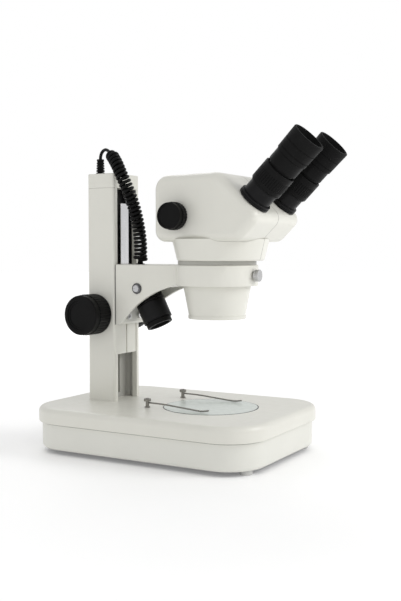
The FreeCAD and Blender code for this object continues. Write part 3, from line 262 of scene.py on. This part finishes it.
class Nodes:
    """Short way to wire a material's nodes."""

    def __init__(self, material):
        self.tree = material.node_tree
        self.shader = self.tree.nodes["Principled BSDF"]
        self.place = self.add("ShaderNodeTexCoord").outputs["Object"]
        self.split = None

    def add(self, kind, **settings):
        node = self.tree.nodes.new(kind)
        for key, value in settings.items():
            setattr(node, key, value)
        return node

    def link(self, source, target):
        self.tree.links.new(source, target)

    def noise(self, per_metre, detail=3.0, stretch=(1, 1, 1), roughness=0.5):
        source = self.place
        if stretch != (1, 1, 1):
            mapping = self.add("ShaderNodeMapping")
            mapping.inputs["Scale"].default_value = stretch
            self.link(source, mapping.inputs["Vector"])
            source = mapping.outputs["Vector"]
        node = self.add("ShaderNodeTexNoise")
        node.inputs["Scale"].default_value = per_metre
        node.inputs["Detail"].default_value = detail
        node.inputs["Roughness"].default_value = roughness
        self.link(source, node.inputs["Vector"])
        return node.outputs["Fac"]

    def spread(self, source, low, high, start=0.3, end=0.7):
        node = self.add("ShaderNodeMapRange")
        node.inputs["From Min"].default_value = start
        node.inputs["From Max"].default_value = end
        node.inputs["To Min"].default_value = low
        node.inputs["To Max"].default_value = high
        self.link(source, node.inputs["Value"])
        return node.outputs["Result"]

    def blend_colour(self, factor, first, second):
        node = self.add("ShaderNodeMix", data_type="RGBA")
        self.link(factor, node.inputs["Factor"])
        for socket, colour in (("A", first), ("B", second)):
            plug = [s for s in node.inputs if s.name == socket and s.type == "RGBA"][0]
            if isinstance(colour, tuple):
                plug.default_value = (*colour, 1)
            else:
                self.link(colour, plug)
        return [s for s in node.outputs if s.type == "RGBA"][0]

    def bump(self, height, strength, depth):
        node = self.add("ShaderNodeBump")
        node.inputs["Strength"].default_value = strength
        node.inputs["Distance"].default_value = depth
        self.link(height, node.inputs["Height"])
        return node.outputs["Normal"]

    def beyond(self, source, edge, soft=0.0002):
        """1 where the source is over the edge, 0 below it."""
        return self.spread(source, 0.0, 1.0, edge - soft, edge + soft)

    def axis(self, which):
        if self.split is None:
            self.split = self.add("ShaderNodeSeparateXYZ")
            self.link(self.place, self.split.inputs[0])
        return self.split.outputs[which]

    def maths(self, operation, first, second):
        node = self.add("ShaderNodeMath", operation=operation)
        for plug, value in zip(node.inputs, (first, second)):
            if isinstance(value, (int, float)):
                plug.default_value = value
            else:
                self.link(value, plug)
        return node.outputs[0]

    def from_axis(self, first, second, axes="XY"):
        """Distance in metres from the line that crosses the plane of two axes at (first, second)."""
        dx = self.maths("SUBTRACT", self.axis(axes[0]), first)
        dy = self.maths("SUBTRACT", self.axis(axes[1]), second)
        squares = self.maths("ADD", self.maths("MULTIPLY", dx, dx), self.maths("MULTIPLY", dy, dy))
        return self.maths("SQRT", squares, 0.0)

    def near_zero(self, source, reach):
        """1 where the source is within reach of zero."""
        size = self.maths("ABSOLUTE", source, 0.0)
        return self.maths("SUBTRACT", 1.0, self.beyond(size, reach, SHARP))

    def repaint(self, mask, colour):
        """Another base colour wherever the mask is 1."""
        socket = self.shader.inputs["Base Color"]
        present = socket.links[0].from_socket
        mixed = self.blend_colour(mask, present, colour)
        self.link(mixed, socket)


def set_shader(nodes, **values):
    for key, value in values.items():
        name = key.replace("_", " ").title().replace("Ior", "IOR")
        nodes.shader.inputs[name].default_value = value


def shade(colour, factor):
    return tuple(min(1.0, channel * factor) for channel in colour)


def surface(name, colour, rough, mottle=0.05, mottle_scale=28.0, grain_scale=900.0, grain_depth=0.02 * MM,
            grain_strength=0.35, rough_range=0.07, stretch=(1, 1, 1), **shader_values):
    """Moulded, painted or machined surface: mottled colour, uneven gloss and fine grain."""
    material = bpy.data.materials.new(name)
    material.use_nodes = True
    nodes = Nodes(material)
    broad = nodes.noise(mottle_scale, 4.0)
    fine = nodes.noise(grain_scale, 2.0, stretch)
    darker, lighter = shade(colour, 1 - mottle), shade(colour, 1 + mottle)
    mottled = nodes.blend_colour(nodes.spread(broad, 0, 1), darker, lighter)
    nodes.link(mottled, nodes.shader.inputs["Base Color"])
    gloss = nodes.noise(mottle_scale * 5, 3.0, stretch)
    uneven = nodes.spread(gloss, rough - rough_range, rough + rough_range)
    nodes.link(uneven, nodes.shader.inputs["Roughness"])
    nodes.link(nodes.bump(fine, grain_strength, grain_depth), nodes.shader.inputs["Normal"])
    set_shader(nodes, **shader_values)
    return material


def brushed(name, colour, rough, stretch):
    return surface(name, colour, rough, mottle=0.06, grain_scale=700.0, grain_depth=0.008 * MM,
                   grain_strength=0.5, stretch=stretch, metallic=1.0)


def glass(name, colour, rough):
    return surface(name, colour, rough, mottle=0.02, grain_scale=60.0, grain_depth=0.01 * MM,
                   grain_strength=0.05, rough_range=0.02, transmission_weight=1.0, ior=1.5)


PAINT = (0.72, 0.713, 0.652)
CREAM = (0.73, 0.728, 0.675)
# painted shadow: dark colour for the glass edge in its seat
GLASS_RIM_SHADOW = (0.03, 0.05, 0.045)
GLASS_CENTRE = (0.0, -19.0 * MM)
GLASS_EDGE = 52.9 * MM


def stage_glass_material():
    """Frosted pale green plate whose edge is painted dark as painted shadow of the gap around it."""
    material = surface("stage_glass", (0.68, 0.735, 0.69), 0.2, mottle=0.01, grain_scale=300.0,
                       grain_depth=0.01 * MM, grain_strength=0.15, transmission_weight=0.1, ior=1.45)
    nodes = Nodes(material)
    nodes.repaint(nodes.beyond(nodes.from_axis(*GLASS_CENTRE), GLASS_EDGE), GLASS_RIM_SHADOW)
    return material


def paint(name):
    return surface(name, PAINT, 0.36, mottle=0.012, grain_scale=1100.0, grain_depth=0.012 * MM,
                   grain_strength=0.4, coat_weight=0.15, coat_roughness=0.2)


CHANNEL_REACH = 23.0 * MM                   # |x| below this is inside the channel
CHANNEL_DEEP = (101.0 * MM, 112.0 * MM)     # and y between these, which leaves out the column's back
CHANNEL_SHADOW_HEIGHT = 150.0 * MM                  # height from which the channel is painted black as painted shadow
# painted shade: the channel's inside is painted darker where shade falls in it
CHANNEL_SHADE = (0.42, 0.415, 0.385)
GAP_SHADE = (0.05, 0.05, 0.045)
SEAM_SHADE = (0.36, 0.355, 0.32)
NECK_SHADE = (0.40, 0.395, 0.36)
JOINT_SHADE = (0.14, 0.14, 0.13)
WASHER_SHADE = (0.10, 0.10, 0.10)
# painted shadow: black for the channel above the arm
SHADOW_BLACK = (0.004, 0.004, 0.004)

SEAM_HALF = 0.45 * MM           # half the width of the head's seam, painted dark as painted shade
ARM_BACK = 93.0 * MM            # y from which the arm is painted dark as painted shade in its joint with the column
NECK_BOTTOM = 211.0 * MM        # height from which the barrel's neck shows, painted darker as painted shadow under the collar
TRAY_JOINT = 33.5 * MM          # height from which the tray is painted dark as painted shade in its joint with the cover
PIVOT = (63.5 * MM, 185.0 * MM)     # y and z of the lamp's pivot screws
PIVOT_HEAD = 4.1 * MM           # radius of the screw, and the washer is outside it
SHARP = 0.0001                  # half the width of a crisp edge between two colours


def column_material():
    """Painted column whose channel is painted darker inside as painted shade, and painted black above the
    arm's lowest place as painted shadow.
    """
    material = paint("column_paint")
    nodes = Nodes(material)
    inside = nodes.maths("SUBTRACT", *[nodes.beyond(nodes.axis("Y"), edge) for edge in CHANNEL_DEEP])
    between = nodes.near_zero(nodes.axis("X"), CHANNEL_REACH)
    channel = nodes.maths("MULTIPLY", inside, between)
    # painted shade inside the channel
    nodes.repaint(channel, CHANNEL_SHADE)
    # painted shadow: black in the channel above the given height
    nodes.repaint(nodes.maths("MULTIPLY", channel, nodes.beyond(nodes.axis("Z"), CHANNEL_SHADOW_HEIGHT)), SHADOW_BLACK)
    return material


def head_material():
    """Paint with a fine line of painted shade where the two half shells meet."""
    material = paint("head_paint")
    nodes = Nodes(material)
    # painted shade along the seam
    nodes.repaint(nodes.near_zero(nodes.axis("X"), SEAM_HALF), SEAM_SHADE)
    return material


def arm_material():
    """Paint with painted shade in the joint against the column."""
    material = paint("arm_paint")
    nodes = Nodes(material)
    # painted shade in the gap between arm and column
    nodes.repaint(nodes.beyond(nodes.axis("Y"), ARM_BACK, SHARP), GAP_SHADE)
    return material


def barrel_material():
    """Paint with the neck that shows between the collar and the ring painted darker as painted shadow."""
    material = paint("barrel_paint")
    nodes = Nodes(material)
    # painted shadow on the neck under the collar
    nodes.repaint(nodes.beyond(nodes.axis("Z"), NECK_BOTTOM), NECK_SHADE)
    return material


def cream(name):
    return surface(name, CREAM, 0.42, mottle=0.012, grain_scale=1500.0, grain_depth=0.01 * MM)


def tray_material():
    """Cream plastic with painted shade in the joint under the cover."""
    material = cream("tray_plastic")
    nodes = Nodes(material)
    # painted shade under the cover's lip
    nodes.repaint(nodes.beyond(nodes.axis("Z"), TRAY_JOINT, SHARP), JOINT_SHADE)
    return material


def pivot_material():
    """Bright screw in a dark washer."""
    material = brushed("pivot_steel", (0.50, 0.50, 0.51), 0.28, (1, 1, 0.1))
    nodes = Nodes(material)
    washer = nodes.beyond(nodes.from_axis(*PIVOT, "YZ"), PIVOT_HEAD)
    nodes.repaint(washer, WASHER_SHADE)
    return material


MATERIALS = {
    "off_white_paint": paint("off_white_paint"),
    "cream_plastic": cream("cream_plastic"),
    "white_plastic": surface("white_plastic", (0.85, 0.85, 0.83), 0.42, mottle=0.02, grain_scale=1500.0),
    "opal_plastic": surface("opal_plastic", (0.88, 0.90, 0.88), 0.5, mottle=0.02),
    "dark_steel": surface("dark_steel", (0.10, 0.10, 0.10), 0.5, mottle=0.15),
    "grey_rubber": surface("grey_rubber", (0.55, 0.55, 0.53), 0.7, mottle=0.06, grain_scale=1400.0,
                           grain_depth=0.04 * MM),
    "black_rubber": surface("black_rubber", (0.006, 0.006, 0.006), 0.6, mottle=0.25, grain_scale=1500.0,
                            grain_depth=0.05 * MM, grain_strength=0.5, specular_ior_level=0.1),
    "cord_black": surface("cord_black", (0.003, 0.003, 0.003), 0.34, mottle=0.2, grain_scale=1200.0,
                          grain_depth=0.02 * MM, specular_ior_level=0.12),
    "plated_steel": brushed("plated_steel", (0.62, 0.62, 0.61), 0.3, (1, 1, 0.05)),
    "polished_steel": brushed("polished_steel", (0.78, 0.78, 0.79), 0.16, (1, 1, 0.03)),
    "bronze": brushed("bronze", (0.55, 0.38, 0.20), 0.38, (0.1, 1, 1)),
    "brass": brushed("brass", (0.72, 0.55, 0.26), 0.3, (1, 1, 0.1)),
    "black_aluminium": surface("black_aluminium", (0.006, 0.006, 0.0065), 0.4, mottle=0.2, grain_scale=1300.0,
                               grain_depth=0.03 * MM, specular_ior_level=0.15),
    "black_plastic": surface("black_plastic", (0.005, 0.005, 0.005), 0.45, mottle=0.25, grain_scale=1600.0,
                             grain_depth=0.035 * MM, grain_strength=0.45, specular_ior_level=0.1),
    "circuit_board": surface("circuit_board", (0.03, 0.20, 0.09), 0.4, mottle=0.2, mottle_scale=400.0),
    "stage_glass": stage_glass_material(),
    "clear_glass": glass("clear_glass", (0.93, 0.96, 0.98), 0.02),
}


# materials that belong to certain nodes
SPECIAL = [
    (column_material(), ["column_profile"]),
    (head_material(), ["head_shell_left", "head_shell_right", "head_collar"]),
    (arm_material(), ["arm_casting"]),
    (barrel_material(), ["nose_barrel"]),
    (tray_material(), ["base_tray"]),
    (pivot_material(), ["lamp_pivot_screws"]),
    (brushed("clip_steel", (0.26, 0.25, 0.23), 0.32, (1, 1, 0.1)), ["stage_clip_left", "stage_clip_right"]),
    (brushed("lock_steel", (0.55, 0.55, 0.55), 0.3, (1, 0.1, 1)), ["lock_screw"]),
]


def floor_material():
    material = surface("pale_floor", (FLOOR_GREY,) * 3, 0.6, mottle=0.004, mottle_scale=3.0,
                       grain_scale=400.0, specular_ior_level=0.2, emission_color=(1, 1, 1, 1))
    nodes = Nodes(material)
    glow = nodes.spread(nodes.from_axis(0.0, 0.0), FLOOR_GLOW, FLOOR_GLOW_FAR, *FLOOR_FADE)
    nodes.link(glow, nodes.shader.inputs["Emission Strength"])
    return material


def add_floor():
    built = bmesh.new()
    bmesh.ops.create_circle(built, cap_ends=True, segments=96, radius=FLOOR_RADIUS)
    mesh = bpy.data.meshes.new("floor")
    built.to_mesh(mesh)
    built.free()
    floor = make_object("floor", mesh)
    mesh.materials.append(floor_material())


def paint_nodes():
    """Each CAD mesh comes in with a material named after its slot."""
    for name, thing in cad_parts.items():
        for index, old in enumerate(thing.data.materials):
            thing.data.materials[index] = MATERIALS[old.name.split(".")[0]]
    for material, names in SPECIAL:
        for name in names:
            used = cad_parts[name].data.materials
            for index in range(len(used)):
                used[index] = material


# ---------------------------------------------------------------- bevels on the sharp CAD edges

# node names with the bevel width in mm
BEVELS = {"arm_casting": 0.7, "column_profile": 0.4, "column_cap": 0.4, "slider_block": 0.4, "slide_bar": 1.9,
          "nose_cone": 0.3, "nose_barrel": 0.3, "lamp_front_ring": 0.3, "switch_frames": 0.4,
          "power_inlet": 0.4, "rocker_stage_lamp": 0.4, "rocker_arm_lamp": 0.4, "stage_glass": 0.3}


WELD_REACH = 0.001 * MM
BEVEL_STEPS = 3
BEVEL_ANGLE = 40.0          # degrees; sharper edges than this are rounded


def soften(thing, width):
    weld = thing.modifiers.new("weld", "WELD")
    weld.merge_threshold = WELD_REACH
    bevel = thing.modifiers.new("bevel", "BEVEL")
    bevel.width = width * MM
    bevel.segments = BEVEL_STEPS
    bevel.limit_method = "ANGLE"
    bevel.angle_limit = math.radians(BEVEL_ANGLE)
    bevel.harden_normals = True


def soften_nodes():
    for name, width in BEVELS.items():
        soften(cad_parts[name], width)


add_floor()
paint_nodes()
soften_nodes()
cord = curly_cord()
cord.data.materials.append(MATERIALS["cord_black"])
